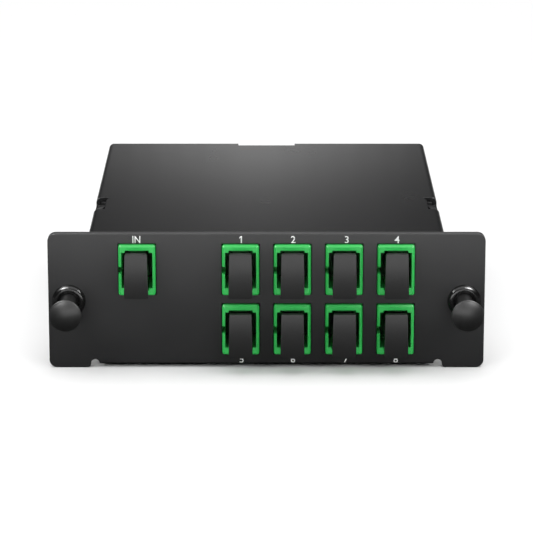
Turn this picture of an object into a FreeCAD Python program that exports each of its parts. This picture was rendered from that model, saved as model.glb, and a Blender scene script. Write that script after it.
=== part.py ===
"""Fibre splitter cassette for a rack bay: one input and eight outputs on angled-polish SC ports.

Millimetres. +X to the right as seen from the front, +Y into the rack, +Z up.
The origin lies midway between the two latches, on the rear face of the front plate.
"""
import FreeCAD, Part
import math
import os

os.makedirs("parts", exist_ok=True)

# Driving dimensions: chassis, one folded sheet
SHEET = 2.0
EDGE_ROOM = 1.9
PLATE_CORNER_R = 2.0
WING_DROP = 0.95
SIDE_ROOM = 6.0
BEND_IN = 1.0
FOLD_EDGE_R = 0.4
RELIEF_SIDE = 1.7
RELIEF_R = 1.1
RELIEF_RISE = 1.0
RELIEF_EDGE_R = 0.8
SEAM_GAP = 0.2

# Driving dimensions: cover, its pressed side tongues and its screws
COVER_T = 1.2
COVER_STEP = 1.0
COVER_GAP = 0.1
COVER_FLANGE = 10.0
COVER_BEND_IN = 0.2
REAR_NOTCH_W = 16.0
REAR_NOTCH_L = 3.5
TONGUE_ROOT_Y = 28.0
TONGUE_L = 9.6
TONGUE_W = 2.1
TONGUE_DROP = 1.1
TONGUE_INSET = 0.7
TONGUE_ROOM = 0.4
TONGUE_SINK = 0.04
TONGUE_LAP = 0.3
SLIT_W = 0.7
WEDGE_L = 3.4
WEDGE_W = 3.6
SCREW_D = 2.0
SCREW_HEAD_D = 3.8
SCREW_L = 3.0
SCREW_FRONT_Y = 16.0
SCREW_REAR_ROOM = 18.0
SCREW_REAR_SIDE = 14.7
SCREW_DROP = 5.5
RECESS_SPAN = 2.2
RECESS_W = 0.5
RECESS_DEPTH = 0.7

# Driving dimensions: ports
COLUMNS = 6
OUTPUT_COLUMNS = 4
COLUMN_ROOM = 3.7
ROW_ROOM = 2.55
ROW_RISE = 0.45
PORT_GAP = 0.15
PORT_PROUD = 1.3
PORT_L = 27.2
PORT_CHAMFER = 0.45
PORT_CORNER_R = 0.6
CAVITY_W = 7.7
CAVITY_H = 9.1
PORT_SIDE = 0.75
PORT_ROOF = 1.875
GROOVE_W = 6.0
GROOVE_D = 0.55
GROOVE_L = 10.5
KEY_W = 1.9
KEY_L = 5.0
EAR_W = 1.0
EAR_L = 1.5
CLIP_T = 0.35
CLIP_L = 6.0

# Driving dimensions: insert, sleeve and pigtail connector inside each port
FLANGE_L = 3.0
HOLDER_R = 2.15
HOLDER_BORE_R = 1.65
HOLDER_REACH = 8.0
HOOK_W = 3.8
HOOK_T = 0.9
HOOK_CATCH = 0.3
HOOK_TIP_L = 1.2
HOOK_REACH = 8.5
HOOK_ROOM = 0.3
SLEEVE_R = 1.6
SLEEVE_BORE_R = 1.26
SLEEVE_L = 11.4
SLEEVE_SLIT = 0.3
FERRULE_R = 1.25
FERRULE_ANGLE = 8.0
FERRULE_TOOL = 1.0
FERRULE_GAP = 0.05
FERRULE_SEAT = 5.0
PLUG_W = 6.2
PLUG_CLEAR = 0.1
PLUG_FRONT_GAP = 0.3
PLUG_BORE_R = 2.35
PLUG_TAIL = 10.0
PLUG_EDGE_R = 0.6
COLLAR_L = 5.5
COLLAR_EDGE = 0.1
COLLAR_EDGE_R = 0.8
BOOT_R = 2.1
BOOT_TIP_R = 1.0
BOOT_L = 8.0

# Driving dimensions: dust plug
HEAD_W = 6.0
HEAD_TAPER = 0.25
HEAD_H = 11.25
HEAD_T = 2.0
HEAD_DOME = 0.5
HEAD_CORNER_R = 0.4
HEAD_STANDOFF = 4.6
NECK_R = 2.85
NECK_BORE_R = 2.3
NECK_ROOM = 2.1

# Driving dimensions: push-pull latch
LATCH_ROOM = 4.7
LATCH_EDGE = 5.1
HOLE_R = 3.0
GROMMET_R = 4.2
GROMMET_T = 1.5
GROMMET_EDGE_R = 1.2
GROMMET_MOUTH_R = 0.35
BARREL_R = 2.9
BARREL_L = 11.2
BARREL_SLOT = 0.8
RECESS_R = 2.55
RECESS_L = 0.6
NECK_HOLE_R = 2.15
NECK_HOLE_L = 2.2
CHAMBER_R = 2.4
STEM_R = 2.05
STEM_RING_R = 1.85
STEM_RING_PITCH = 0.9
STEM_RINGS = 4
TIP_L = 1.2
TIP_R = 0.9
BEAD_R = 2.3
BEAD_L = 2.4
BEAD_SLOPE = 0.6
BEAD_ROOM = 0.3
CAP_R = 4.0
CAP_T = 4.15
CAP_RIM_R = 0.35
CAP_EDGE = 0.3
CAP_DOME = 1.1
LATCH_TRAVEL = 9.5
LATCH_STOP = 0.2

# Driving dimensions: splitter module and its fibres
MODULE_L = 40.0
MODULE_W = 7.0
MODULE_H = 4.0
MODULE_REAR_ROOM = 11.5
MODULE_Z = -4.0
MODULE_EDGE_R = 0.3
END_BOOT_L = 5.0
END_BOOT_TAPER = 0.9
CRADLE_L = 24.0
CRADLE_WALL = 1.5
CRADLE_LIP = 0.5
CRADLE_FOOT = 3.0

# Driving dimensions: fibre routes
FIBRE_R = 0.45
LEVEL_LOW = -1.1
LEVEL_MID = -0.1
LEVEL_TOP = 0.95
TRACK_PITCH = 1.0
RAMP_START = 4.0
RAMP_END = 15.0
RAMP_R = 8.5
FIRST_TURN_R = 10.0
FIRST_TURN_ROOM = 4.1
U_TURN_MAX_R = 10.0
TURN_ROOM = 5.7
TURN_RUN = 1.0
INPUT_RAMP_END = 12.5
INPUT_RAMP_R = 7.0
INPUT_FIRST_R = 9.0

# Heights and places worked out from the driving dimensions
BODY_PORT_W = CAVITY_W + 2 * PORT_SIDE
BODY_PORT_H = CAVITY_H + 2 * PORT_ROOF
PITCH_X = BODY_PORT_W + COLUMN_ROOM
ROW_PITCH = BODY_PORT_H + ROW_ROOM
PLUG_H = CAVITY_H - 2 * (HOOK_ROOM + HOOK_T + HOOK_CATCH + PLUG_CLEAR)
BODY_W = COLUMNS * PITCH_X + 2 * SIDE_ROOM
LATCH_X = BODY_W / 2 + LATCH_ROOM
PLATE_W = 2 * (LATCH_X + LATCH_EDGE)
PLATE_H = 2 * (ROW_PITCH + EDGE_ROOM)
BEND_OUT = BEND_IN + SHEET
RELIEF_X = BODY_W / 2 - RELIEF_SIDE
PLATE_BOTTOM = -PLATE_H / 2
FLOOR_Z = PLATE_BOTTOM + WING_DROP
FLOOR_TOP = FLOOR_Z + SHEET
COVER_TOP = PLATE_H / 2 - COVER_STEP
COVER_UNDER = COVER_TOP - COVER_T
WALL_TOP = COVER_UNDER - COVER_GAP
PLATE_FRONT = -SHEET
PORT_FRONT = PLATE_FRONT - PORT_PROUD
PORT_BACK = PORT_FRONT + PORT_L
PORT_MIDDLE = (PORT_FRONT + PORT_BACK) / 2
GROMMET_FRONT = PLATE_FRONT - GROMMET_T
CAP_BACK = GROMMET_FRONT - LATCH_STOP - LATCH_TRAVEL
NECK_END = PORT_MIDDLE - FLANGE_L / 2 - NECK_ROOM
BOOT_END = PORT_BACK + PLUG_TAIL + BOOT_L
TURN_X = BODY_W / 2 - TURN_ROOM
TRACKS_W = (OUTPUT_COLUMNS - 1) * TRACK_PITCH
U_TURN_R = min(U_TURN_MAX_R, TURN_X - TRACKS_W - MODULE_L / 2 - END_BOOT_L - TURN_RUN)
INPUT_TURN_R = U_TURN_R + TRACKS_W
OUTPUT_TRACK_Y = BOOT_END + RAMP_END + FIRST_TURN_R + FIRST_TURN_ROOM
INPUT_TRACK_Y = OUTPUT_TRACK_Y - OUTPUT_COLUMNS * TRACK_PITCH
MODULE_Y = OUTPUT_TRACK_Y + 2 * U_TURN_R + 1.5 * TRACKS_W + TURN_RUN
BODY_L = MODULE_Y + MODULE_REAR_ROOM
CHASSIS_W = BODY_W - 2 * (COVER_T + COVER_GAP)
CHASSIS_END = BODY_L - COVER_T - COVER_GAP


def v(x, y, z):
    return FreeCAD.Vector(x, y, z)


def box(x0, x1, y0, y1, z0, z1):
    return Part.makeBox(x1 - x0, y1 - y0, z1 - z0, v(x0, y0, z0))


def rod(radius, x, z, y0, y1):
    """Round bar along Y."""
    return Part.makeCylinder(radius, y1 - y0, v(x, y0, z), v(0, 1, 0))


def flat_face(points):
    """Closed face through points, which are vectors in one plane."""
    return Part.Face(Part.makePolygon(points + points[:1]))


def edges_along(shape, direction, keep=lambda centre: True):
    """Straight edges parallel to a direction whose centre passes a test."""
    found = []
    for edge in shape.Edges:
        if not isinstance(edge.Curve, Part.Line):
            continue
        run = edge.Vertexes[-1].Point.sub(edge.Vertexes[0].Point)
        if run.cross(direction).Length < 1e-6 and keep(edge.CenterOfMass):
            found.append(edge)
    return found


def port_places():
    """Name, X and Z of each port: the input first, then two rows of outputs."""
    first = -(COLUMNS - 1) / 2 * PITCH_X
    rows = (ROW_RISE + ROW_PITCH / 2, ROW_RISE - ROW_PITCH / 2)
    places = [("in", first, rows[0])]
    for index in range(2 * OUTPUT_COLUMNS):
        row, column = divmod(index, OUTPUT_COLUMNS)
        places.append((str(index + 1), first + (COLUMNS - OUTPUT_COLUMNS + column) * PITCH_X, rows[row]))
    return places


def front_plate():
    """Plate whose wings reach below the box, with a relief notch where the fold to the floor ends."""
    plate = box(-PLATE_W / 2, PLATE_W / 2, PLATE_FRONT, 0, PLATE_BOTTOM, PLATE_H / 2)
    plate = plate.makeFillet(PLATE_CORNER_R, edges_along(plate, v(0, 1, 0)))
    plate = plate.cut(box(-RELIEF_X, RELIEF_X, PLATE_FRONT, 0, PLATE_BOTTOM, FLOOR_Z))
    for side in (-1, 1):
        x0, x1 = side * RELIEF_X - RELIEF_R, side * RELIEF_X + RELIEF_R
        plate = plate.cut(box(x0, x1, PLATE_FRONT, 0, PLATE_BOTTOM, PLATE_BOTTOM + RELIEF_RISE))
        plate = plate.cut(rod(RELIEF_R, side * RELIEF_X, PLATE_BOTTOM + RELIEF_RISE, PLATE_FRONT, 0))
        plate = plate.cut(rod(HOLE_R, side * LATCH_X, 0, PLATE_FRONT, 0))
    notch = RELIEF_X + RELIEF_R
    corners = edges_along(plate, v(0, 1, 0),
                          lambda c: c.z < PLATE_BOTTOM + 0.01 and abs(abs(c.x) - notch) < 0.01)
    plate = plate.makeFillet(RELIEF_EDGE_R, corners)
    half_w = BODY_PORT_W / 2 + PORT_GAP
    half_h = BODY_PORT_H / 2 + PORT_GAP
    for _, x, z in port_places():
        plate = plate.cut(box(x - half_w, x + half_w, PLATE_FRONT, 0, z - half_h, z + half_h))
    return plate


def front_fold():
    """Sharp fold from the plate to the floor, with its outer edge just broken."""
    half = RELIEF_X - RELIEF_R
    strip = box(-half, half, PLATE_FRONT, BEND_OUT, FLOOR_Z, FLOOR_TOP)
    edge = edges_along(strip, v(1, 0, 0), lambda c: c.z < FLOOR_Z + 0.01 and c.y < PLATE_FRONT + 0.01)
    return strip.makeFillet(FOLD_EDGE_R, edge)


def rear_bend():
    """Quarter-round fold from the floor to the rear wall."""
    half = CHASSIS_W / 2 - BEND_OUT
    y = CHASSIS_END - BEND_OUT
    z = FLOOR_Z + BEND_OUT
    outer = Part.makeCylinder(BEND_OUT, 2 * half, v(-half, y, z), v(1, 0, 0))
    inner = Part.makeCylinder(BEND_IN, 2 * half, v(-half, y, z), v(1, 0, 0))
    return outer.cut(inner).common(box(-half, half, y, CHASSIS_END, FLOOR_Z, z))


def floor_channel():
    """Floor with the bends to both sides."""
    half = CHASSIS_W / 2
    z = FLOOR_Z + BEND_OUT
    start, end = SEAM_GAP, CHASSIS_END - BEND_OUT
    tall = z + BEND_OUT
    outer = box(-half, half, start, end, FLOOR_Z, tall)
    outer = outer.makeFillet(BEND_OUT, edges_along(outer, v(0, 1, 0), lambda c: c.z < FLOOR_Z + 0.01))
    inner = box(-half + SHEET, half - SHEET, start, end, FLOOR_TOP, tall)
    inner = inner.makeFillet(BEND_IN, edges_along(inner, v(0, 1, 0), lambda c: c.z < FLOOR_TOP + 0.01))
    channel = outer.cut(inner)
    channel = channel.common(box(-half, half, start, end, FLOOR_Z, z))
    edge = RELIEF_X - RELIEF_R
    for side in (-1, 1):
        x0, x1 = sorted((side * edge, side * half))
        channel = channel.cut(box(x0, x1, start, BEND_OUT, FLOOR_Z, z))
    return channel


def side_wall(side):
    """Side of the chassis, with a notch under the cover's pressed tongue."""
    x0, x1 = sorted((side * (CHASSIS_W / 2 - SHEET), side * CHASSIS_W / 2))
    wall = box(x0, x1, SEAM_GAP, CHASSIS_END - SHEET - SEAM_GAP, FLOOR_Z + BEND_OUT, WALL_TOP)
    notch_z = COVER_UNDER - TONGUE_DROP - TONGUE_ROOM
    notch_end = TONGUE_ROOT_Y + TONGUE_L + WEDGE_L
    return wall.cut(box(x0, x1, TONGUE_ROOT_Y, notch_end, notch_z, WALL_TOP))


def chassis():
    half = CHASSIS_W / 2
    fold = RELIEF_X - RELIEF_R
    plate = front_plate().cut(box(-fold, fold, PLATE_FRONT, 0, FLOOR_Z, FLOOR_TOP))
    body = plate.fuse([front_fold(), floor_channel(), side_wall(-1), side_wall(1), rear_bend()])
    body = body.fuse(box(-half, half, CHASSIS_END - SHEET, CHASSIS_END, FLOOR_Z + BEND_OUT, WALL_TOP))
    for screw in screw_places():
        body = body.cut(screw_shape(screw))
    return body.removeSplitter()


def screw_places():
    """Place on the cover's outer face and inward direction of each cover screw."""
    z = COVER_TOP - SCREW_DROP
    places = []
    for side in (-1, 1):
        for y in (SCREW_FRONT_Y, BODY_L - SCREW_REAR_ROOM):
            places.append((v(side * BODY_W / 2, y, z), v(-side, 0, 0)))
        places.append((v(side * (BODY_W / 2 - SCREW_REAR_SIDE), BODY_L, z), v(0, -1, 0)))
    return places


def screw_shape(place):
    """Countersunk screw, flush with the cover."""
    start, inward = place
    head = Part.makeCone(SCREW_HEAD_D / 2, SCREW_D / 2, COVER_T, start, inward)
    return head.fuse(Part.makeCylinder(SCREW_D / 2, SCREW_L, start, inward)).removeSplitter()


def cover_screws():
    """Six screws, each with a cross recess in its head."""
    shapes = []
    up = v(0, 0, 1)
    for place in screw_places():
        start, inward = place
        across = up.cross(inward)
        screw = screw_shape(place)
        for along, beside in ((across, up), (up, across)):
            reach, half = along * (RECESS_SPAN / 2), beside * (RECESS_W / 2)
            bar = flat_face([start - reach - half, start + reach - half, start + reach + half,
                             start - reach + half])
            screw = screw.cut(bar.extrude(inward * RECESS_DEPTH))
        shapes.append(screw)
    return Part.makeCompound(shapes)


def cover_shell():
    """Lid with flanges outside both sides and the rear of the chassis."""
    half = BODY_W / 2
    low = COVER_TOP - COVER_FLANGE
    outer = box(-half, half, SEAM_GAP, BODY_L, low, COVER_TOP)
    radius = COVER_BEND_IN + COVER_T
    rear = edges_along(outer, v(0, 0, 1), lambda c: c.y > BODY_L - 0.01)
    top = edges_along(outer, v(0, 1, 0), lambda c: c.z > COVER_TOP - 0.01)
    back = edges_along(outer, v(1, 0, 0), lambda c: c.z > COVER_TOP - 0.01 and c.y > BODY_L - 0.01)
    outer = outer.makeFillet(radius, rear + top + back)
    inner = box(-half + COVER_T, half - COVER_T, SEAM_GAP, BODY_L - COVER_T, low, COVER_UNDER)
    rear = edges_along(inner, v(0, 0, 1), lambda c: c.y > BODY_L - COVER_T - 0.01)
    top = edges_along(inner, v(0, 1, 0), lambda c: c.z > COVER_UNDER - 0.01)
    back = edges_along(inner, v(1, 0, 0),
                       lambda c: c.z > COVER_UNDER - 0.01 and c.y > BODY_L - COVER_T - 0.01)
    return outer.cut(inner.makeFillet(COVER_BEND_IN, rear + top + back))


def tongue_pocket(side):
    """Space that the pressed tongue, its slit and the wedge at its free end take from the cover."""
    edge = side * BODY_W / 2
    slit_in = side * (BODY_W / 2 - TONGUE_W - SLIT_W)
    wedge_in = side * (BODY_W / 2 - WEDGE_W)
    free_end = TONGUE_ROOT_Y + TONGUE_L
    z = COVER_UNDER - TONGUE_DROP
    slot = box(*sorted((edge, slit_in)), TONGUE_ROOT_Y, free_end, z, COVER_TOP)
    wedge = flat_face([v(edge, free_end, z), v(edge, free_end + WEDGE_L, z),
                       v(wedge_in, free_end + WEDGE_L, z), v(slit_in, free_end, z)])
    return slot.fuse(wedge.extrude(v(0, 0, COVER_TOP - z)))


def tongue(side):
    """Strip beside the slit, bent down and in toward its free rear end, with its root sunk in the lid."""
    outer = side * (BODY_W / 2 - TONGUE_SINK)
    inner = side * (BODY_W / 2 - TONGUE_W)
    low, high = COVER_UNDER + TONGUE_SINK, COVER_TOP - TONGUE_SINK
    start = TONGUE_ROOT_Y - TONGUE_LAP
    lean = (TONGUE_L + TONGUE_LAP) / TONGUE_L
    section = flat_face([v(outer, start, low), v(inner, start, low), v(inner, start, high),
                         v(outer, start, high)])
    sweep = v(-side * TONGUE_INSET, TONGUE_L, -TONGUE_DROP) * lean
    strip = section.extrude(sweep)
    centre = strip.CenterOfMass
    bent = edges_along(strip, sweep, lambda c: c.z > centre.z and abs(c.x) > abs(centre.x))
    return strip.makeFillet(COVER_T - 3 * TONGUE_SINK, bent)


def top_cover():
    half = REAR_NOTCH_W / 2
    low = COVER_TOP - COVER_FLANGE
    cover = cover_shell().cut(box(-half, half, BODY_L - REAR_NOTCH_L, BODY_L, low, COVER_TOP))
    for side in (-1, 1):
        cover = cover.cut(tongue_pocket(side)).fuse(tongue(side))
    for place in screw_places():
        cover = cover.cut(screw_shape(place))
    return cover.removeSplitter()


def adapter_body(x, z):
    """Green port housing: key slots at the left, grooves for the hooks, ears behind the plate."""
    half_w, half_h = BODY_PORT_W / 2, BODY_PORT_H / 2
    body = box(x - half_w, x + half_w, PORT_FRONT, PORT_BACK, z - half_h, z + half_h)
    body = body.makeFillet(PORT_CORNER_R, edges_along(body, v(0, 1, 0)))
    ends = [e for e in body.Edges if abs(e.CenterOfMass.y - PORT_MIDDLE) > PORT_L / 2 - 0.01]
    body = body.makeChamfer(PORT_CHAMFER, ends)
    ear = half_w + EAR_W
    body = body.fuse(box(x - ear, x + ear, 0, EAR_L, z - half_h, z + half_h))
    body = body.cut(box(x - CAVITY_W / 2, x + CAVITY_W / 2, PORT_FRONT, PORT_BACK,
                        z - CAVITY_H / 2, z + CAVITY_H / 2))
    groove = CAVITY_H / 2 + GROOVE_D
    for y0, y1 in ((PORT_FRONT, PORT_FRONT + GROOVE_L), (PORT_BACK - GROOVE_L, PORT_BACK)):
        body = body.cut(box(x - GROOVE_W / 2, x + GROOVE_W / 2, y0, y1, z - groove, z + groove))
    for y0, y1 in ((PORT_FRONT, PORT_FRONT + KEY_L), (PORT_BACK - KEY_L, PORT_BACK)):
        body = body.cut(box(x - half_w, x, y0, y1, z - KEY_W / 2, z + KEY_W / 2))
    return body.removeSplitter()


def hook(x, z, up, toward):
    """Latch arm from the insert's flange: up is its side of the port, toward its way along Y."""
    root = PORT_MIDDLE + toward * FLANGE_L / 2
    tip = PORT_MIDDLE + toward * HOOK_REACH
    outer = CAVITY_H / 2 - HOOK_ROOM
    inner = outer - HOOK_T
    catch = tip - toward * HOOK_TIP_L
    section = [v(x - HOOK_W / 2, root, z + up * inner), v(x - HOOK_W / 2, root, z + up * outer),
               v(x - HOOK_W / 2, tip, z + up * outer), v(x - HOOK_W / 2, tip, z + up * inner),
               v(x - HOOK_W / 2, catch, z + up * (inner - HOOK_CATCH)),
               v(x - HOOK_W / 2, catch, z + up * inner)]
    return flat_face(section).extrude(v(HOOK_W, 0, 0))


def adapter_insert(x, z):
    """Flange across the port with the sleeve's holder and four latch arms."""
    front, back = PORT_MIDDLE - FLANGE_L / 2, PORT_MIDDLE + FLANGE_L / 2
    insert = box(x - CAVITY_W / 2, x + CAVITY_W / 2, front, back, z - CAVITY_H / 2, z + CAVITY_H / 2)
    insert = insert.fuse(rod(HOLDER_R, x, z, PORT_MIDDLE - HOLDER_REACH, PORT_MIDDLE + HOLDER_REACH))
    for up in (-1, 1):
        for toward in (-1, 1):
            insert = insert.fuse(hook(x, z, up, toward))
    bore = rod(HOLDER_BORE_R, x, z, PORT_MIDDLE - HOLDER_REACH, PORT_MIDDLE + HOLDER_REACH)
    return insert.cut(bore).removeSplitter()


def alignment_sleeve(x, z):
    y0, y1 = PORT_MIDDLE - SLEEVE_L / 2, PORT_MIDDLE + SLEEVE_L / 2
    sleeve = rod(SLEEVE_R, x, z, y0, y1).cut(rod(SLEEVE_BORE_R, x, z, y0, y1))
    return sleeve.cut(box(x - SLEEVE_SLIT / 2, x + SLEEVE_SLIT / 2, y0, y1, z, z + SLEEVE_R))


def adapter_clip(x, z):
    """Spring saddle over the port behind its ears."""
    half_w, half_h = BODY_PORT_W / 2, BODY_PORT_H / 2
    y0, y1 = EAR_L, EAR_L + CLIP_L
    saddle = box(x - half_w - CLIP_T, x + half_w + CLIP_T, y0, y1, z, z + half_h + CLIP_T)
    saddle = saddle.cut(box(x - half_w, x + half_w, y0, y1, z, z + half_h))
    return saddle


def dust_plug(x, z):
    """Plug with a domed grip plate, narrower at its top, and a sleeve that slides over the holder."""
    back = PORT_FRONT - HEAD_STANDOFF
    front = back - HEAD_T
    half_w, half_h = HEAD_W / 2, HEAD_H / 2
    shoulder = front + HEAD_DOME
    arc = Part.Arc(v(x, shoulder, z - half_h), v(x, front, z), v(x, shoulder, z + half_h)).toShape()
    rim = Part.makePolygon([v(x, shoulder, z + half_h), v(x, back, z + half_h),
                            v(x, back, z - half_h), v(x, shoulder, z - half_h)])
    head = Part.Face(Part.Wire([arc] + rim.Edges)).extrude(v(HEAD_W, 0, 0))
    head.translate(v(-half_w, 0, 0))
    narrow = half_w - HEAD_TAPER
    outline = flat_face([v(x - half_w, front, z - half_h), v(x + half_w, front, z - half_h),
                         v(x + narrow, front, z + half_h), v(x - narrow, front, z + half_h)])
    head = head.common(outline.extrude(v(0, HEAD_T, 0)))
    head = head.makeFillet(HEAD_CORNER_R, edges_along(head, v(0, 1, 0)))
    plug = head.fuse(rod(NECK_R, x, z, back, NECK_END))
    return plug.cut(rod(NECK_BORE_R, x, z, PORT_FRONT, NECK_END)).removeSplitter()


def pigtail_plug(x, z):
    """Connector body inside the rear of the port, with a collar against its end."""
    front = PORT_MIDDLE + FLANGE_L / 2 + PLUG_FRONT_GAP
    back = PORT_BACK + PLUG_TAIL
    body = box(x - PLUG_W / 2, x + PLUG_W / 2, front, back, z - PLUG_H / 2, z + PLUG_H / 2)
    body = body.makeFillet(PLUG_EDGE_R, edges_along(body, v(0, 1, 0)))
    half_w, half_h = BODY_PORT_W / 2 - COLLAR_EDGE, CAVITY_H / 2
    collar = box(x - half_w, x + half_w, PORT_BACK, PORT_BACK + COLLAR_L, z - half_h, z + half_h)
    collar = collar.makeFillet(COLLAR_EDGE_R, edges_along(collar, v(0, 1, 0)))
    seat = PORT_MIDDLE + HOLDER_REACH + PLUG_FRONT_GAP
    body = body.fuse(collar).cut(rod(PLUG_BORE_R, x, z, front, seat))
    return body.cut(rod(FERRULE_R, x, z, seat, seat + FERRULE_SEAT)).removeSplitter()


def pigtail_ferrule(x, z):
    """Ceramic ferrule with its front end face at an angle."""
    start = PORT_MIDDLE + FERRULE_GAP
    end = PORT_MIDDLE + HOLDER_REACH + PLUG_FRONT_GAP + FERRULE_SEAT
    rise = 2 * FERRULE_R * math.tan(math.radians(FERRULE_ANGLE))
    side = x - FERRULE_R - FERRULE_TOOL
    tool = flat_face([v(side, start - FERRULE_TOOL, z - FERRULE_R), v(side, start, z - FERRULE_R),
                      v(side, start + rise, z + FERRULE_R), v(side, start - FERRULE_TOOL, z + FERRULE_R)])
    return rod(FERRULE_R, x, z, start, end).cut(tool.extrude(v(2 * (FERRULE_R + FERRULE_TOOL), 0, 0)))


def pigtail_boot(x, z):
    start = PORT_BACK + PLUG_TAIL
    return Part.makeCone(BOOT_R, BOOT_TIP_R, BOOT_L, v(x, start, z), v(0, 1, 0))


def latch_grommet(x):
    """Flanged bush in the plate with four sprung legs behind it."""
    flange = rod(GROMMET_R, x, 0, GROMMET_FRONT, PLATE_FRONT)
    rim = [e for e in flange.Edges if abs(e.CenterOfMass.y - GROMMET_FRONT) < 0.01]
    flange = flange.makeFillet(GROMMET_EDGE_R, rim)
    flange = flange.cut(rod(RECESS_R, x, 0, GROMMET_FRONT, GROMMET_FRONT + RECESS_L))
    mouth = [e for e in flange.Edges
             if abs(e.CenterOfMass.y - GROMMET_FRONT) < 0.01 and e.Curve.Radius < RECESS_R + 0.01]
    flange = flange.makeFillet(GROMMET_MOUTH_R, mouth)
    bush = flange.fuse(rod(BARREL_R, x, 0, PLATE_FRONT, BARREL_L))
    bush = bush.cut(rod(NECK_HOLE_R, x, 0, GROMMET_FRONT, GROMMET_FRONT + NECK_HOLE_L))
    bush = bush.cut(rod(CHAMBER_R, x, 0, GROMMET_FRONT + NECK_HOLE_L, BARREL_L))
    half = BARREL_SLOT / 2
    bush = bush.cut(box(x - half, x + half, SHEET, BARREL_L, -BARREL_R, BARREL_R))
    bush = bush.cut(box(x - BARREL_R, x + BARREL_R, SHEET, BARREL_L, -half, half))
    return bush.removeSplitter()


def latch_plunger(x):
    """Push-pull knob, shown pulled out: domed cap, ringed stem, and a bead that keeps it in the bush."""
    front = CAP_BACK - CAP_T
    shoulder = front + CAP_DOME
    rim = shoulder + CAP_RIM_R
    slope = v(x, front, 0)
    edge = math.sqrt(0.5) * CAP_RIM_R
    top = Part.Arc(slope, v(x + (CAP_R - CAP_RIM_R) / 2, front + CAP_DOME / 4, 0),
                   v(x + CAP_R - CAP_RIM_R, shoulder, 0)).toShape()
    turn = Part.Arc(v(x + CAP_R - CAP_RIM_R, shoulder, 0), v(x + CAP_R - CAP_RIM_R + edge, rim - edge, 0),
                    v(x + CAP_R, rim, 0)).toShape()
    outline = [v(x + CAP_R, rim, 0), v(x + CAP_R, rim + CAP_EDGE, 0), v(x + STEM_R, CAP_BACK, 0)]
    for ring in range(STEM_RINGS):
        y = CAP_BACK + (ring + 1) * STEM_RING_PITCH
        outline += [v(x + STEM_R, y, 0), v(x + STEM_RING_R, y + STEM_RING_PITCH / 4, 0),
                    v(x + STEM_RING_R, y + STEM_RING_PITCH / 2, 0),
                    v(x + STEM_R, y + 3 * STEM_RING_PITCH / 4, 0)]
    bead = GROMMET_FRONT + NECK_HOLE_L + BEAD_ROOM
    outline += [v(x + STEM_R, bead, 0), v(x + BEAD_R, bead + BEAD_SLOPE, 0),
                v(x + BEAD_R, bead + BEAD_L - BEAD_SLOPE, 0), v(x + STEM_R, bead + BEAD_L, 0),
                v(x + STEM_R, BARREL_L, 0), v(x + TIP_R, BARREL_L + TIP_L, 0), v(x, BARREL_L + TIP_L, 0),
                slope]
    rest = Part.makePolygon(outline)
    face = Part.Face(Part.Wire([top, turn] + rest.Edges))
    return face.revolve(v(x, 0, 0), v(0, 1, 0), 360)


def splitter_module():
    half_l, half_w, half_h = MODULE_L / 2, MODULE_W / 2, MODULE_H / 2
    body = box(-half_l, half_l, MODULE_Y - half_w, MODULE_Y + half_w, MODULE_Z - half_h, MODULE_Z + half_h)
    return body.makeFillet(MODULE_EDGE_R, edges_along(body, v(1, 0, 0)))


def module_section(x, shrink):
    """Cross-section of the module at x, drawn in by a shrink."""
    half_w, half_h = MODULE_W / 2 - shrink, MODULE_H / 2 - shrink / 3
    corners = [(-half_w, -half_h), (half_w, -half_h), (half_w, half_h), (-half_w, half_h), (-half_w, -half_h)]
    return Part.makePolygon([v(x, MODULE_Y + y, MODULE_Z + z) for y, z in corners])


def module_end_boots():
    """Tapered rubber boots at both ends of the module."""
    boots = []
    for side in (-1, 1):
        root = module_section(side * MODULE_L / 2, 0)
        tip = module_section(side * (MODULE_L / 2 + END_BOOT_L), END_BOOT_TAPER)
        boots.append(Part.makeLoft([root, tip], True, True))
    return Part.makeCompound(boots)


def module_cradle():
    """Moulded stand on the floor that grips the module."""
    half = CRADLE_L / 2
    y0, y1 = MODULE_Y - MODULE_W / 2, MODULE_Y + MODULE_W / 2
    z0, z1 = MODULE_Z - MODULE_H / 2, MODULE_Z + MODULE_H / 2
    foot = FLOOR_TOP + CRADLE_WALL
    stand = box(-half, half, y0 - CRADLE_WALL, y1 + CRADLE_WALL, FLOOR_TOP, z1 + CRADLE_LIP)
    stand = stand.fuse(box(-half, half, y0 - CRADLE_WALL - CRADLE_FOOT, y0, FLOOR_TOP, foot))
    stand = stand.cut(box(-half, half, y0, y1, z0, z1))
    stand = stand.cut(box(-half, half, y0 + CRADLE_LIP, y1 - CRADLE_LIP, z1, z1 + CRADLE_LIP))
    return stand.cut(box(-half, half, y0, y1, foot, z0 - CRADLE_WALL)).removeSplitter()


def fibre(points, radii):
    """Round fibre along straight runs joined by tangent arcs, one radius per inner point."""
    edges = []
    last = points[0]
    for before, corner, after, radius in zip(points, points[1:], points[2:], radii):
        back = (before - corner).normalize()
        ahead = (after - corner).normalize()
        turn = math.pi - back.getAngle(ahead)
        reach = radius * math.tan(turn / 2)
        start, end = corner + back * reach, corner + ahead * reach
        inward = (back + ahead).normalize()
        middle = corner + inward * (radius / math.cos(turn / 2) - radius)
        edges.append(Part.LineSegment(last, start).toShape())
        edges.append(Part.Arc(start, middle, end).toShape())
        last = end
    edges.append(Part.LineSegment(last, points[-1]).toShape())
    path = Part.Wire(edges)
    direction = points[1] - points[0]
    circle = Part.Wire([Part.makeCircle(FIBRE_R, points[0], direction)])
    tube = path.makePipeShell([circle], True, True)
    error = tube.Volume / (math.pi * FIBRE_R ** 2 * path.Length) - 1
    turns = ", ".join("%.1f" % radius for radius in radii)
    print("fibre %.1f mm long, turns of %s mm, volume error %.4f" % (path.Length, turns, error))
    return tube


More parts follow.
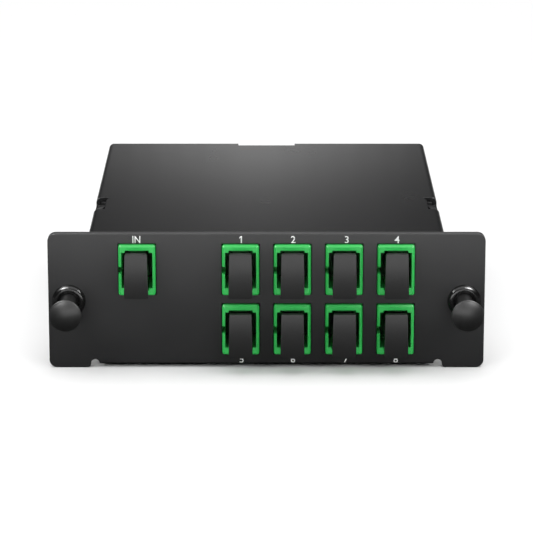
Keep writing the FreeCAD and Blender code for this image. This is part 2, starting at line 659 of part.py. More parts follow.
def output_fibre(index, x, z):
    """From a boot back, down or up to its level, left along its track and round into the module."""
    column = index % OUTPUT_COLUMNS
    level = MODULE_Z + (LEVEL_MID if index < OUTPUT_COLUMNS else LEVEL_LOW)
    track = OUTPUT_TRACK_Y + column * TRACK_PITCH
    far_x = -TURN_X + column * TRACK_PITCH
    entry = MODULE_Y + TRACKS_W / 2 - column * TRACK_PITCH
    points = [v(x, BOOT_END, z), v(x, BOOT_END + RAMP_START, z), v(x, BOOT_END + RAMP_END, level),
              v(x, track, level), v(far_x, track, level), v(far_x, entry, level),
              v(-MODULE_L / 2 - END_BOOT_L, entry, level)]
    return fibre(points, [RAMP_R, RAMP_R, FIRST_TURN_R, U_TURN_R, U_TURN_R])


def output_fibres():
    shapes = []
    for index, (_, x, z) in enumerate(port_places()[1:]):
        shapes.append(output_fibre(index, x, z))
    return Part.makeCompound(shapes)


def input_fibre():
    """From its boot back, right above the output tracks and round into the module's other end."""
    _, x, z = port_places()[0]
    level = MODULE_Z + LEVEL_TOP
    points = [v(x, BOOT_END, z), v(x, BOOT_END + RAMP_START, z), v(x, BOOT_END + INPUT_RAMP_END, level),
              v(x, INPUT_TRACK_Y, level), v(TURN_X, INPUT_TRACK_Y, level), v(TURN_X, MODULE_Y, level),
              v(MODULE_L / 2 + END_BOOT_L, MODULE_Y, level)]
    return fibre(points, [INPUT_RAMP_R, INPUT_RAMP_R, INPUT_FIRST_R, INPUT_TURN_R, INPUT_TURN_R])


def write(name, shape):
    shape.exportStep("parts/%s.step" % name)


def group(maker):
    """One small piece in every port, as separate solids of one node."""
    return Part.makeCompound([maker(x, z) for _, x, z in port_places()])


write("chassis", chassis())
write("top_cover", top_cover())
write("cover_screws", cover_screws())
for port, port_x, port_z in port_places():
    write("adapter_body_" + port, adapter_body(port_x, port_z))
    write("adapter_insert_" + port, adapter_insert(port_x, port_z))
    write("dust_plug_" + port, dust_plug(port_x, port_z))
    write("pigtail_plug_" + port, pigtail_plug(port_x, port_z))
write("alignment_sleeves", group(alignment_sleeve))
write("pigtail_ferrules", group(pigtail_ferrule))
write("pigtail_boots", group(pigtail_boot))
write("adapter_clips", group(adapter_clip))
for latch, side_x in (("left", -LATCH_X), ("right", LATCH_X)):
    write("latch_grommet_" + latch, latch_grommet(side_x))
    write("latch_plunger_" + latch, latch_plunger(side_x))
write("splitter_module", splitter_module())
write("module_end_boots", module_end_boots())
write("module_cradle", module_cradle())
write("input_fibre", input_fibre())
write("output_fibres", output_fibres())
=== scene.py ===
"""Looks of the fibre splitter cassette: paint, plastics, printed port labels and the studio.

Metres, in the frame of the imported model: +X right, +Y into the rack, +Z up.
"""

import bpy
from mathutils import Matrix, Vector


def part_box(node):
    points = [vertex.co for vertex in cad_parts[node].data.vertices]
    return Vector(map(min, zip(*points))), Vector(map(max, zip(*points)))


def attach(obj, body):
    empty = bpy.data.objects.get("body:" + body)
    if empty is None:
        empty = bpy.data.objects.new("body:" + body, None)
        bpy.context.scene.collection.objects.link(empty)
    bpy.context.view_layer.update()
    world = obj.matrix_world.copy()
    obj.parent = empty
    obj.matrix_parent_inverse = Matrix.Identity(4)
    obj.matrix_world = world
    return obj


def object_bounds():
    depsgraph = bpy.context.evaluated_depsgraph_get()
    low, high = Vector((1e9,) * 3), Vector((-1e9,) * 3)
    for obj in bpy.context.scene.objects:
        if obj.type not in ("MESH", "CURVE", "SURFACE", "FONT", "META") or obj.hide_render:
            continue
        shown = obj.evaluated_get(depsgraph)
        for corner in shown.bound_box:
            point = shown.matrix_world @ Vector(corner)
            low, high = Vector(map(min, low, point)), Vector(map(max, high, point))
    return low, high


bl_info = {
    "name": "Fibre splitter cassette",
    "version": (1, 0, 0),
    "blender": (4, 5, 0),
    "location": "3D View > Sidebar > Splitter",
    "description": "Finishes, labels and stage of a fibre splitter cassette",
    "category": "Object",
}

import math

import bmesh
import bpy
from bpy.props import FloatProperty, FloatVectorProperty, PointerProperty
from mathutils import Matrix, Vector
from mathutils.bvhtree import BVHTree

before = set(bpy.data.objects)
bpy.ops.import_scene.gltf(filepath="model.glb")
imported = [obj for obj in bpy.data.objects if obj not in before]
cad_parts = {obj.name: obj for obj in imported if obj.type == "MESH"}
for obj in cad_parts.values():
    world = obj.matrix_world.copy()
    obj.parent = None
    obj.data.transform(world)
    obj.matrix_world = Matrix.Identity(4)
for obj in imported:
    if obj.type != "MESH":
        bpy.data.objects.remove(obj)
CAD_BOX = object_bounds()

MM = 0.001
PORTS = ("in", "1", "2", "3", "4", "5", "6", "7", "8")

# A Mix node's colour sockets, which share their names with its sockets for plain numbers
FIRST_COLOUR, SECOND_COLOUR, MIXED_COLOUR = 6, 7, 2

# Noise scales that all finishes share, and how much detail the noise has
PATCH_SCALE, CLOUD_SCALE, SPECK_SCALE = 90.0, 120.0, 6000.0
PATCH_DETAIL, FINE_DETAIL = 4.0, 3.0

# How far the roughness of a finish drifts, and the lid's share of the chassis's texture and drift
DRIFT = 0.06
LID_TEXTURE = 0.3

# Depths below the plate's top edge where the painted highlight on its top face begins, and where it is full
TOP_HIGHLIGHT_DEPTHS = (0.2 * MM, 0.05 * MM)

# The print of three labels sits off the others' line, in shares of the label shift
LABEL_SHIFTS = {"in": -0.5, "3": 3.0, "7": 3.0}
# Cuts across the height of a label, which let it follow the plate's bend
LABEL_SLICES = 12
# Corners of the slanting stroke of a 1, in shares of its height from the bar's upper left corner
FLAG_CORNERS = ((0.03, 0.0), (-0.20, -0.20), (-0.20, -0.36), (0.03, -0.18))
# Points of a font outline closer than this are one
WELD = 1e-5

FLOOR_SIZE = 6.0
FLOOR_DROP = 0.05 * MM
# Gloss sees the floor darker near the part, as painted shade that the part mirrors: distances from the
# origin, then the tones at them
FLOOR_GLOSS_SHADE = (0.03, 0.35, 0.04, 0.28)
# Sine of the height above the horizon where the overhead light begins, and where it is full
SKY_RISE = (0.42, 0.85)

# Lamps that stand once at each side: what their name ends in, the setting that holds their power, place,
# aim, size, and the kind of ray that misses them. Places are for the right side.
SIDE_LAMPS = (
    ("", "key", (0.13, -0.20, 0.09), (0.0, 0.0, 0.01), (0.12, 0.08), {"gloss": False}),
    (" highlight", "spark", (0.10, -0.055, 0.10), (0.049, 0.0, 0.0), (0.06, 0.05), {"diffuse": False}),
    (" floor fill", "fill", (0.30, 0.02, 0.16), (0.09, 0.0, CAD_BOX[0].z), (0.2, 0.2), {"gloss": False}),
)
FRONT_CARD_PLACE, FRONT_CARD_AIM, FRONT_CARD_SIZE = (0.0, -0.09, 0.014), (0.0, 0.0, 0.014), (0.16, 0.03)
# The rear cards stand one behind the other, and each aims down at a point ahead of it
REAR_CARDS = 9
REAR_CARD_X, REAR_CARD_Y, REAR_CARD_Z = -0.003, 0.180, 0.034
REAR_CARD_STEP = 2 * MM
REAR_CARD_WIDEST, REAR_CARD_HEIGHT = 0.14, 0.026
REAR_AIM_AHEAD, REAR_AIM_Z = 0.08, 0.019

# Depth below the plate's top edge that the camera aims at
CAMERA_AIM = 8.43 * MM


def port_box(port):
    """Lowest and highest corner of a port's green housing."""
    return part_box("adapter_body_" + port)


def dress(node, material):
    """Gives a node of the frame its finish."""
    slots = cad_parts[node].data.materials
    slots.clear()
    slots.append(material)


def toned(colour, factor):
    """A colour made lighter or darker."""
    return tuple(min(1.0, part * factor) for part in colour)


# Shader nodes, each made with what feeds it

def feed(tree, value, socket):
    """Links a socket to what feeds it, or sets it where that is a plain value."""
    if isinstance(value, bpy.types.NodeSocket):
        tree.links.new(value, socket)
    else:
        socket.default_value = value


def noise(tree, place, scale, detail):
    """Cloudy value over the surface."""
    node = tree.nodes.new("ShaderNodeTexNoise")
    node.inputs["Detail"].default_value = detail
    tree.links.new(place, node.inputs["Vector"])
    feed(tree, scale, node.inputs["Scale"])
    return node.outputs["Fac"]


def maths(tree, operation, *values, clamp=False):
    """Result of a sum or product of sockets and numbers."""
    node = tree.nodes.new("ShaderNodeMath")
    node.operation = operation
    node.use_clamp = clamp
    for value, socket in zip(values, node.inputs):
        feed(tree, value, socket)
    return node.outputs[0]


def mapped(tree, value, limits, curve):
    """Value carried from the range of the first two limits to that of the last two."""
    node = tree.nodes.new("ShaderNodeMapRange")
    node.interpolation_type = curve
    for label, limit in zip(("From Min", "From Max", "To Min", "To Max"), limits):
        node.inputs[label].default_value = limit
    tree.links.new(value, node.inputs["Value"])
    return node.outputs["Result"]


def mixed(tree, factor, first, second):
    """Blend of two colours."""
    node = tree.nodes.new("ShaderNodeMix")
    node.data_type = "RGBA"
    tree.links.new(factor, node.inputs["Factor"])
    feed(tree, first, node.inputs[FIRST_COLOUR])
    feed(tree, second, node.inputs[SECOND_COLOUR])
    return node.outputs[MIXED_COLOUR]


def height_of(tree, place):
    """The Z of a place or direction."""
    parts = tree.nodes.new("ShaderNodeSeparateXYZ")
    tree.links.new(place, parts.inputs["Vector"])
    return parts.outputs["Z"]


# Node groups that all finishes share

def group_named(name, inputs, outputs):
    """Empty shader group with its sockets, and its input and output nodes."""
    group = bpy.data.node_groups.new(name, "ShaderNodeTree")
    for label, kind, value in inputs:
        socket = group.interface.new_socket(label, in_out="INPUT", socket_type=kind)
        socket.default_value = value
    for label, kind in outputs:
        group.interface.new_socket(label, in_out="OUTPUT", socket_type=kind)
    entry = group.nodes.new("NodeGroupInput")
    leave = group.nodes.new("NodeGroupOutput")
    return group, entry, leave


def surface_texture_group():
    """Fine texture and softened edges of a coated or moulded skin, with a roughness that drifts."""
    group, entry, leave = group_named(
        "Surface texture",
        [("Grain Scale", "NodeSocketFloat", 4000.0), ("Grain Depth", "NodeSocketFloat", 0.01 * MM),
         ("Edge Radius", "NodeSocketFloat", 0.15 * MM), ("Roughness", "NodeSocketFloat", 0.45),
         ("Spread", "NodeSocketFloat", DRIFT)],
        [("Roughness", "NodeSocketFloat"), ("Normal", "NodeSocketVector")])
    place = group.nodes.new("ShaderNodeTexCoord").outputs["Object"]
    edge = group.nodes.new("ShaderNodeBevel")
    edge.samples = 6
    feed(group, entry.outputs["Edge Radius"], edge.inputs["Radius"])
    bump = group.nodes.new("ShaderNodeBump")
    bump.inputs["Strength"].default_value = 1.0
    feed(group, entry.outputs["Grain Depth"], bump.inputs["Distance"])
    feed(group, noise(group, place, entry.outputs["Grain Scale"], FINE_DETAIL), bump.inputs["Height"])
    feed(group, edge.outputs["Normal"], bump.inputs["Normal"])
    feed(group, bump.outputs["Normal"], leave.inputs["Normal"])
    centred = maths(group, "SUBTRACT", noise(group, place, PATCH_SCALE, PATCH_DETAIL), 0.5)
    drift = maths(group, "MULTIPLY_ADD", centred, entry.outputs["Spread"], entry.outputs["Roughness"])
    feed(group, drift, leave.inputs["Roughness"])
    return group


def colour_drift_group():
    """Two near tones of one colour in soft clouds and fine specks."""
    group, entry, leave = group_named(
        "Colour drift",
        [("Colour", "NodeSocketColor", (0.5, 0.5, 0.5, 1.0)),
         ("Second Colour", "NodeSocketColor", (0.4, 0.4, 0.4, 1.0))],
        [("Colour", "NodeSocketColor")])
    place = group.nodes.new("ShaderNodeTexCoord").outputs["Object"]
    clouds = noise(group, place, CLOUD_SCALE, FINE_DETAIL)
    specks = noise(group, place, SPECK_SCALE, FINE_DETAIL)
    share = maths(group, "MULTIPLY", maths(group, "MULTIPLY", clouds, specks), 2.0, clamp=True)
    tone = mixed(group, share, entry.outputs["Colour"], entry.outputs["Second Colour"])
    feed(group, tone, leave.inputs["Colour"])
    return group


def shared_group(maker, name):
    """The group of that name, built the first time it is asked for."""
    return bpy.data.node_groups.get(name) or maker()


def finish_named(name, colour, second, roughness, grain_scale, grain_depth, edge_radius, spread=DRIFT,
                 constants=None):
    """Material with drifting colour and a fine skin, with lengths in millimetres.

    The constants are values for the shader's own sockets.
    """
    material = bpy.data.materials.new(name)
    material.use_nodes = True
    nodes, links = material.node_tree.nodes, material.node_tree.links
    shader = nodes["Principled BSDF"]
    tone = nodes.new("ShaderNodeGroup")
    tone.node_tree = shared_group(colour_drift_group, "Colour drift")
    tone.inputs["Colour"].default_value = (*colour, 1.0)
    tone.inputs["Second Colour"].default_value = (*second, 1.0)
    links.new(tone.outputs["Colour"], shader.inputs["Base Color"])
    skin = nodes.new("ShaderNodeGroup")
    skin.node_tree = shared_group(surface_texture_group, "Surface texture")
    skin.inputs["Grain Scale"].default_value = grain_scale
    skin.inputs["Grain Depth"].default_value = grain_depth * MM
    skin.inputs["Edge Radius"].default_value = edge_radius * MM
    skin.inputs["Roughness"].default_value = roughness
    skin.inputs["Spread"].default_value = spread
    links.new(skin.outputs["Roughness"], shader.inputs["Roughness"])
    links.new(skin.outputs["Normal"], shader.inputs["Normal"])
    for label, value in (constants or {}).items():
        shader.inputs[label].default_value = value
    return material


# Sizes and colours that a user would change

class SplitterPaint(bpy.types.PropertyGroup):
    black: FloatVectorProperty(name="Paint colour", description="Colour of the powder coat",
                               default=(0.009, 0.009, 0.0094), subtype="COLOR", min=0.0, max=1.0)
    roughness: FloatProperty(name="Paint roughness", description="How dull the chassis's powder coat is",
                             default=0.38, min=0.05, max=1.0, subtype="FACTOR")
    lid_roughness: FloatProperty(name="Lid roughness", description="How dull the lid's powder coat is",
                                 default=0.27, min=0.05, max=1.0, subtype="FACTOR")
    # Edge colour is a painted highlight, the lighter colour given to the plate's top face where it catches
    # the light
    edge: FloatVectorProperty(name="Edge colour",
                              description="Colour painted on the plate's top face as a painted highlight",
                              default=(0.055, 0.055, 0.056), subtype="COLOR", min=0.0, max=1.0)
    grain: FloatProperty(name="Grain depth", description="Depth of the powder coat's fine texture",
                         default=0.004 * MM, min=0.0, unit="LENGTH")


class SplitterPlastics(bpy.types.PropertyGroup):
    port: FloatVectorProperty(name="Port green", description="Colour of angled-polish port housings",
                              default=(0.034, 0.56, 0.102), subtype="COLOR", min=0.0, max=1.0)
    cap: FloatVectorProperty(name="Plug black", description="Colour of the dust plugs",
                             default=(0.008, 0.008, 0.008), subtype="COLOR", min=0.0, max=1.0)
    latch: FloatVectorProperty(name="Latch black", description="Colour of the push-pull latches",
                               default=(0.004, 0.004, 0.004), subtype="COLOR", min=0.0, max=1.0)


class SplitterPrint(bpy.types.PropertyGroup):
    ink: FloatVectorProperty(name="Ink", description="Colour of the printed port labels",
                             default=(0.92, 0.92, 0.92), subtype="COLOR", min=0.0, max=1.0)
    height: FloatProperty(name="Label height", description="Height of the printed characters",
                          default=1.83 * MM, min=0.5 * MM, unit="LENGTH")
    weight: FloatProperty(name="Stroke weight",
                          description="How far the strokes are thickened, in font units",
                          default=0.011, min=0.0)
    width: FloatProperty(name="Label width", description="Width of a word against the plain font's",
                         default=0.84, min=0.3, subtype="FACTOR")
    thickness: FloatProperty(name="Ink thickness", description="How far the print stands off the paint",
                             default=0.02 * MM, min=0.005 * MM, unit="LENGTH")
    rise: FloatProperty(name="Upper label gap", description="From a port's top edge to its label's middle",
                        default=1.21 * MM, unit="LENGTH")
    drop: FloatProperty(name="Lower label gap", description="From a port's bottom edge to its label's middle",
                        default=1.55 * MM, unit="LENGTH")
    shift: FloatProperty(name="Label shift", description="From a port's middle right to its label's middle",
                         default=0.2 * MM, unit="LENGTH")


class SplitterStudio(bpy.types.PropertyGroup):
    elevation: FloatProperty(name="Elevation", description="Height of the camera above the horizon",
                             default=math.radians(14.8), subtype="ANGLE", unit="ROTATION")
    distance: FloatProperty(name="Distance", description="From the camera to the front plate",
                            default=0.727, min=0.2, unit="LENGTH")
    lens: FloatProperty(name="Lens", description="Focal length in millimetres", default=197.1, min=20.0)
    floor: FloatVectorProperty(name="Floor colour", description="Colour of the floor",
                               default=(0.94, 0.94, 0.94), subtype="COLOR", min=0.0, max=1.0)
    sky: FloatProperty(name="Sky strength", description="Soft light from overhead", default=1.78, min=0.0)
    horizon: FloatProperty(name="Horizon strength", description="Light from low all round",
                           default=0.012, min=0.0)
    key: FloatProperty(name="Front power", description="Power of each lamp above the front, in watts",
                       default=0.14, min=0.0)
    spark: FloatProperty(name="Highlight power",
                         description="Power of each small lamp that round edges mirror, in watts",
                         default=0.33, min=0.0)
    fill: FloatProperty(name="Side power",
                        description="Power of each lamp that lights the floor beside the part, in watts",
                        default=0.12, min=0.0)
    card: FloatProperty(name="Card power", description="Power of the card mirrored by the front, in watts",
                        default=0.062, min=0.0)
    rim: FloatProperty(name="Rear power", description="Power of the cards mirrored by the lid, in watts",
                       default=0.0053, min=0.0)


# Finishes of the frame's nodes, one operator for each group of like ones

class SPLITTER_OT_housing(bpy.types.Operator):
    """Paint the folded chassis and its lid and blacken the lid's screws"""
    bl_idname = "splitter.housing"
    bl_label = "Housing paint"

    def execute(self, context):
        paint = context.scene.splitter_paint
        black = tuple(paint.black)
        for node, roughness, texture in (("chassis", paint.roughness, 1.0),
                                         ("top_cover", paint.lid_roughness, LID_TEXTURE)):
            coat = finish_named(node + " powder coat", black, toned(black, 1.6), roughness,
                                grain_scale=3500.0, grain_depth=texture * paint.grain / MM,
                                edge_radius=0.25, spread=DRIFT * texture, constants={"IOR": 1.5})
            dress(node, coat)
            if node == "chassis":
                # painted highlight on the plate's top face
                self.paint_top_highlight(coat.node_tree, paint)
        dress("cover_screws", finish_named("Blackened screw steel", (0.03, 0.03, 0.03), (0.05, 0.05, 0.05),
                                           roughness=0.32, grain_scale=5000.0, grain_depth=0.004,
                                           edge_radius=0.08, constants={"Metallic": 0.8}))
        return {"FINISHED"}

    def paint_top_highlight(self, tree, paint):
        """Painted highlight: lighter colour on the narrow top face of the front plate, where that face
        catches the light.
        """
        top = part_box("chassis")[1].z
        height = height_of(tree, tree.nodes.new("ShaderNodeTexCoord").outputs["Object"])
        begins, full = TOP_HIGHLIGHT_DEPTHS
        rise = mapped(tree, height, (top - begins, top - full, 0.0, 1.0), "LINEAR")
        colour = tree.nodes["Principled BSDF"].inputs["Base Color"]
        feed(tree, mixed(tree, rise, colour.links[0].from_socket, (*paint.edge, 1.0)), colour)


class SPLITTER_OT_ports(bpy.types.Operator):
    """Give the port housings their moulded green, and their inserts a much darker green as painted shade for
    the dark inside of the ports
    """
    bl_idname = "splitter.ports"
    bl_label = "Ports"

    def execute(self, context):
        green = tuple(context.scene.splitter_plastics.port)
        housing = finish_named("Moulded port green", green, toned(green, 0.88), roughness=0.36,
                               grain_scale=2500.0, grain_depth=0.003, edge_radius=0.2, constants={"IOR": 1.4})
        # The inserts' green is darkened to about a fifth as painted shade, standing for the shade deep in the
        # ports
        insert = finish_named("Moulded insert green", toned(green, 0.22), toned(green, 0.18), roughness=0.42,
                              grain_scale=2500.0, grain_depth=0.003, edge_radius=0.1, constants={"IOR": 1.4})
        for port in PORTS:
            dress("adapter_body_" + port, housing)
            dress("adapter_insert_" + port, insert)
        return {"FINISHED"}


class SPLITTER_OT_dust_plugs(bpy.types.Operator):
    """Give the dust plugs their satin black"""
    bl_idname = "splitter.dust_plugs"
    bl_label = "Dust plugs"

    def execute(self, context):
        black = tuple(context.scene.splitter_plastics.cap)
        satin = finish_named("Satin plug plastic", black, toned(black, 1.5), roughness=0.42,
                             grain_scale=2000.0, grain_depth=0.004, edge_radius=0.12, constants={"IOR": 1.42})
        for port in PORTS:
            dress("dust_plug_" + port, satin)
        return {"FINISHED"}


class SPLITTER_OT_latches(bpy.types.Operator):
    """Give the push-pull latches their nylon, glossy on the bush and duller on the knob"""
    bl_idname = "splitter.latches"
    bl_label = "Latches"

    def execute(self, context):
        black = tuple(context.scene.splitter_plastics.latch)
        for name, node, roughness, edge_radius in (("Latch bush nylon", "latch_grommet_", 0.2, 0.1),
                                                   ("Latch knob nylon", "latch_plunger_", 0.44, 0.05)):
            nylon = finish_named(name, black, toned(black, 1.5), roughness, grain_scale=1500.0,
                                 grain_depth=0.002, edge_radius=edge_radius, spread=0.03)
            for side in ("left", "right"):
                dress(node + side, nylon)
        return {"FINISHED"}


class SPLITTER_OT_optics(bpy.types.Operator):
    """Finish what lies inside: connectors, ceramics, boots, splitter module and fibres"""
    bl_idname = "splitter.optics"
    bl_label = "Inner parts"

    def execute(self, context):
        green = tuple(context.scene.splitter_plastics.port)
        connector = finish_named("Connector green", green, toned(green, 0.85), roughness=0.35,
                                 grain_scale=2500.0, grain_depth=0.003, edge_radius=0.15)
        for port in PORTS:
            dress("pigtail_plug_" + port, connector)
        ceramic = finish_named("Zirconia", (0.82, 0.81, 0.78), (0.86, 0.85, 0.82), roughness=0.14,
                               grain_scale=3000.0, grain_depth=0.0005, edge_radius=0.04, spread=0.03,
                               constants={"Coat Weight": 0.3})
        dress("pigtail_ferrules", ceramic)
        dress("alignment_sleeves", ceramic)
        rubber = finish_named("Boot rubber", (0.02, 0.02, 0.02), (0.035, 0.035, 0.035), roughness=0.62,
                              grain_scale=1800.0, grain_depth=0.01, edge_radius=0.15)
        dress("pigtail_boots", rubber)
        dress("module_end_boots", rubber)
        dress("adapter_clips", finish_named("Spring steel", (0.48, 0.47, 0.45), (0.55, 0.54, 0.52),
                                            roughness=0.28, grain_scale=4000.0, grain_depth=0.001,
                                            edge_radius=0.05, constants={"Metallic": 1.0}))
        dress("splitter_module", finish_named("Module steel", (0.56, 0.56, 0.57), (0.63, 0.63, 0.64),
                                              roughness=0.34, grain_scale=1800.0, grain_depth=0.002,
                                              edge_radius=0.2, constants={"Metallic": 1.0}))
        dress("module_cradle", finish_named("Cradle plastic", (0.70, 0.70, 0.68), (0.76, 0.76, 0.74),
                                            roughness=0.45, grain_scale=2200.0, grain_depth=0.004,
                                            edge_radius=0.2))
        for node, colour in (("input_fibre", (0.75, 0.75, 0.74)), ("output_fibres", (0.85, 0.55, 0.03))):
            dress(node, finish_named(node + " jacket", colour, toned(colour, 0.92), roughness=0.42,
                                     grain_scale=3000.0, grain_depth=0.003, edge_radius=0.05))
        return {"FINISHED"}


# Printed labels

def text_outline(words, height, width, weight):
    """Flat mesh of a word in the XZ plane, centred, with the given height and relative width."""
    curve = bpy.data.curves.new("label curve", "FONT")
    curve.body = words
    curve.offset = weight
    curve.resolution_u = 4
    carrier = bpy.data.objects.new("label carrier", curve)
    bpy.context.scene.collection.objects.link(carrier)
    bpy.context.view_layer.update()
    flat = bpy.data.meshes.new_from_object(carrier.evaluated_get(bpy.context.evaluated_depsgraph_get()))
    bpy.data.objects.remove(carrier)
    shape = bmesh.new()
    shape.from_mesh(flat)
    bpy.data.meshes.remove(flat)
    bmesh.ops.remove_doubles(shape, verts=shape.verts, dist=WELD)
    across = [vert.co.x for vert in shape.verts]
    along = [vert.co.y for vert in shape.verts]
    middle = Vector(((min(across) + max(across)) / 2, (min(along) + max(along)) / 2, 0.0))
    scale = height / (max(along) - min(along))
    bmesh.ops.translate(shape, verts=shape.verts, vec=-middle)
    bmesh.ops.scale(shape, verts=shape.verts, vec=(scale * width, scale, scale))
    if words == "1":
        add_flag(shape, height)
    bmesh.ops.rotate(shape, verts=shape.verts, cent=(0, 0, 0), matrix=Matrix.Rotation(math.pi / 2, 3, "X"))
    return shape


def add_flag(shape, height):
    """Short slanting stroke at the top of a plain upright bar, flat in the XY plane."""
    left = min(vert.co.x for vert in shape.verts)
    top = height / 2
    shape.faces.new([shape.verts.new((left + right * height, top + up * height, 0.0))
                     for right, up in FLAG_CORNERS])


def slice_level(shape, spacing):
    """Cuts a flat upright mesh at even heights, so it can follow a bend."""
    heights = [vert.co.z for vert in shape.verts]
    level = min(heights) + spacing
    while level < max(heights):
        bmesh.ops.bisect_plane(shape, geom=shape.verts[:] + shape.edges[:] + shape.faces[:],
                               plane_co=(0, 0, level), plane_no=(0, 0, 1))
        level += spacing


def lay_on_front(shape, surface):
    """Moves each point along Y on to the front of a surface."""
    ahead = Vector((0, 1, 0))
    for vert in shape.verts:
        hit = surface.ray_cast(Vector((vert.co.x, CAD_BOX[0].y - MM, vert.co.z)), ahead)[0]
        if hit is None:
            raise RuntimeError("a label reaches past the front plate")
        vert.co.y = hit.y


def thicken(shape, thickness):
    """Closes a flat mesh into a slab that stands out to the front."""
    raised = bmesh.ops.extrude_face_region(shape, geom=shape.faces[:], use_keep_orig=True)
    lifted = [part for part in raised["geom"] if isinstance(part, bmesh.types.BMVert)]
    bmesh.ops.translate(shape, verts=lifted, vec=(0, -thickness, 0))
    bmesh.ops.recalc_face_normals(shape, faces=shape.faces)


class SPLITTER_OT_labels(bpy.types.Operator):
    """Print IN and the port numbers on the front plate, following its bottom bend"""
    bl_idname = "splitter.labels"
    bl_label = "Port labels"

    def execute(self, context):
        settings = context.scene.splitter_print
        ink = finish_named("Label ink", tuple(settings.ink), toned(settings.ink, 0.9), roughness=0.5,
                           grain_scale=9000.0, grain_depth=0.002, edge_radius=0.01)
        plate = BVHTree.FromObject(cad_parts["chassis"], bpy.context.evaluated_depsgraph_get())
        between_rows = (port_box("1")[0].z + port_box("5")[1].z) / 2
        for port in PORTS:
            low, high = port_box(port)
            x = (low.x + high.x) / 2 + settings.shift * LABEL_SHIFTS.get(port, 1.0)
            z = high.z + settings.rise if low.z > between_rows else low.z - settings.drop
            width = settings.width if port == "in" else 1.0
            shape = text_outline(port.upper(), settings.height, width, settings.weight)
            slice_level(shape, settings.height / LABEL_SLICES)
            bmesh.ops.translate(shape, verts=shape.verts, vec=(x, 0, z))
            lay_on_front(shape, plate)
            thicken(shape, settings.thickness)
            piece = bpy.data.objects.new("port_label_" + port, bpy.data.meshes.new("port_label_" + port))
            context.scene.collection.objects.link(piece)
            shape.to_mesh(piece.data)
            shape.free()
            piece.data.materials.append(ink)
            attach(piece, "cassette")
        return {"FINISHED"}


# Floor, light and camera

def area_lamp(name, place, aim, size, power, diffuse=True, gloss=True):
    """Soft rectangular lamp or pale card that the camera doesn't see."""
    lamp = bpy.data.lights.new(name, "AREA")
    lamp.shape = "RECTANGLE"
    lamp.size, lamp.size_y = size
    lamp.energy = power
    holder = bpy.data.objects.new(name, lamp)
    bpy.context.scene.collection.objects.link(holder)
    holder.location = place
    holder.rotation_euler = (Vector(aim) - Vector(place)).to_track_quat("-Z", "Y").to_euler()
    holder.visible_camera = False
    holder.visible_diffuse = diffuse
    holder.visible_glossy = gloss


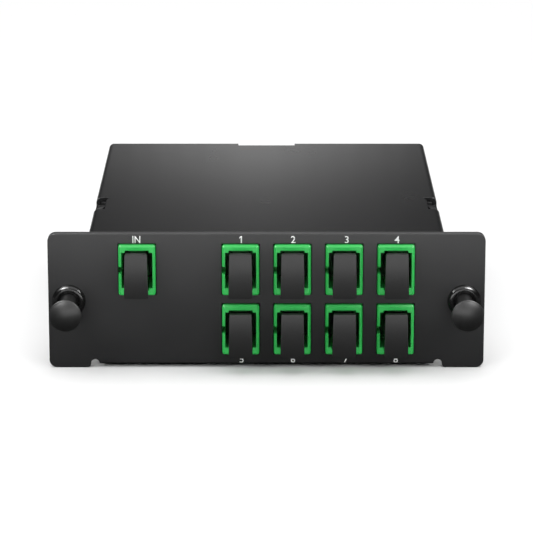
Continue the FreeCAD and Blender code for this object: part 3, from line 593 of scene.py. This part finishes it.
class SPLITTER_OT_stage(bpy.types.Operator):
    """Pale floor, soft studio light and the camera"""
    bl_idname = "splitter.stage"
    bl_label = "Stage"

    def execute(self, context):
        scene = context.scene
        studio = scene.splitter_studio
        scene.view_settings.view_transform = "Standard"
        self.add_floor(scene, studio)
        self.add_sky(scene, studio)
        self.add_lamps(studio)
        self.add_rear_cards(studio)
        self.add_camera(scene, studio)
        return {"FINISHED"}

    def add_floor(self, scene, studio):
        """Matt floor just under the part."""
        material = bpy.data.materials.new("Studio floor")
        material.use_nodes = True
        shader = material.node_tree.nodes["Principled BSDF"]
        shader.inputs["Roughness"].default_value = 0.7
        shader.inputs["Specular IOR Level"].default_value = 0.0
        self.add_floor_colour(material.node_tree, shader, studio)
        shape = bmesh.new()
        bmesh.ops.create_grid(shape, x_segments=1, y_segments=1, size=FLOOR_SIZE)
        bmesh.ops.translate(shape, verts=shape.verts, vec=(0, 0, CAD_BOX[0].z - FLOOR_DROP))
        floor = bpy.data.objects.new("studio_floor", bpy.data.meshes.new("studio_floor"))
        scene.collection.objects.link(floor)
        shape.to_mesh(floor.data)
        shape.free()
        floor.data.materials.append(material)

    def add_floor_colour(self, tree, shader, studio):
        """Pale floor that shows darker in gloss near the object, as if dark cards lay round it: painted shade
        that the part mirrors in its reflections.
        """
        reach = tree.nodes.new("ShaderNodeVectorMath")
        reach.operation = "LENGTH"
        feed(tree, tree.nodes.new("ShaderNodeTexCoord").outputs["Object"], reach.inputs[0])
        gloss_shade = mapped(tree, reach.outputs["Value"], FLOOR_GLOSS_SHADE, "SMOOTHSTEP")
        gloss_ray = tree.nodes.new("ShaderNodeLightPath").outputs["Is Glossy Ray"]
        feed(tree, mixed(tree, gloss_ray, (*studio.floor, 1.0), gloss_shade), shader.inputs["Base Color"])

    def add_sky(self, scene, studio):
        """White light from overhead that fades towards the horizon."""
        world = bpy.data.worlds.new("Studio sky")
        world.use_nodes = True
        tree = world.node_tree
        sky = tree.nodes["Background"]
        sky.inputs["Color"].default_value = (1.0, 1.0, 1.0, 1.0)
        height = height_of(tree, tree.nodes.new("ShaderNodeTexCoord").outputs["Generated"])
        strength = mapped(tree, height, (*SKY_RISE, studio.horizon, studio.sky), "SMOOTHSTEP")
        feed(tree, strength, sky.inputs["Strength"])
        scene.world = world

    def add_lamps(self, studio):
        """Front, highlight and floor lamps at both sides, and the card that the front mirrors."""
        for side, name in ((-1, "front lamp left"), (1, "front lamp right")):
            for ending, setting, place, aim, size, missed in SIDE_LAMPS:
                area_lamp(name + ending, (side * place[0], *place[1:]), (side * aim[0], *aim[1:]), size,
                          getattr(studio, setting), **missed)
        area_lamp("front card", FRONT_CARD_PLACE, FRONT_CARD_AIM, FRONT_CARD_SIZE, studio.card, diffuse=False)

    def add_rear_cards(self, studio):
        """Cards behind the part, each wider than the last, so their light on the lid fades to both sides."""
        for number in range(1, REAR_CARDS + 1):
            share = 2 * number / (REAR_CARDS * (REAR_CARDS + 1))
            y = REAR_CARD_Y + number * REAR_CARD_STEP
            size = (REAR_CARD_WIDEST * number / REAR_CARDS, REAR_CARD_HEIGHT)
            area_lamp("rear card %d" % number, (REAR_CARD_X, y, REAR_CARD_Z),
                      (REAR_CARD_X, y - REAR_AIM_AHEAD, REAR_AIM_Z), size, share * studio.rim, diffuse=False)

    def add_camera(self, scene, studio):
        """Long lens straight ahead of the plate, a little above it."""
        plate_low, plate_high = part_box("chassis")
        target = Vector((0.0, plate_low.y, plate_high.z - CAMERA_AIM))
        lean = studio.elevation
        lens = bpy.data.cameras.new("camera")
        lens.lens = studio.lens
        lens.sensor_width = 36.0
        lens.clip_start = 0.01
        holder = bpy.data.objects.new("camera", lens)
        scene.collection.objects.link(holder)
        holder.location = target + studio.distance * Vector((0, -math.cos(lean), math.sin(lean)))
        holder.rotation_euler = (target - holder.location).to_track_quat("-Z", "Y").to_euler()
        scene.camera = holder


OPERATORS = (SPLITTER_OT_stage, SPLITTER_OT_housing, SPLITTER_OT_ports, SPLITTER_OT_dust_plugs,
             SPLITTER_OT_latches, SPLITTER_OT_optics, SPLITTER_OT_labels)
SETTINGS = {"splitter_paint": SplitterPaint, "splitter_plastics": SplitterPlastics,
            "splitter_print": SplitterPrint, "splitter_studio": SplitterStudio}


class SPLITTER_PT_panel(bpy.types.Panel):
    """Lists the settings and the operators of the splitter"""
    bl_label = "Splitter"
    bl_idname = "SPLITTER_PT_panel"
    bl_space_type = "VIEW_3D"
    bl_region_type = "UI"
    bl_category = "Splitter"

    def draw(self, context):
        for name, kind in SETTINGS.items():
            column = self.layout.column(heading=name)
            for setting in kind.__annotations__:
                column.prop(getattr(context.scene, name), setting)
        for operator in OPERATORS:
            self.layout.operator(operator.bl_idname)


CLASSES = (*SETTINGS.values(), *OPERATORS, SPLITTER_PT_panel)


def register():
    for kind in CLASSES:
        bpy.utils.register_class(kind)
    for name, kind in SETTINGS.items():
        setattr(bpy.types.Scene, name, PointerProperty(type=kind))


def unregister():
    for name in SETTINGS:
        delattr(bpy.types.Scene, name)
    for kind in reversed(CLASSES):
        bpy.utils.unregister_class(kind)


def main():
    register()
    for operator in OPERATORS:
        group, _, action = operator.bl_idname.partition(".")
        getattr(getattr(bpy.ops, group), action)()


if __name__ == "__main__":
    main()
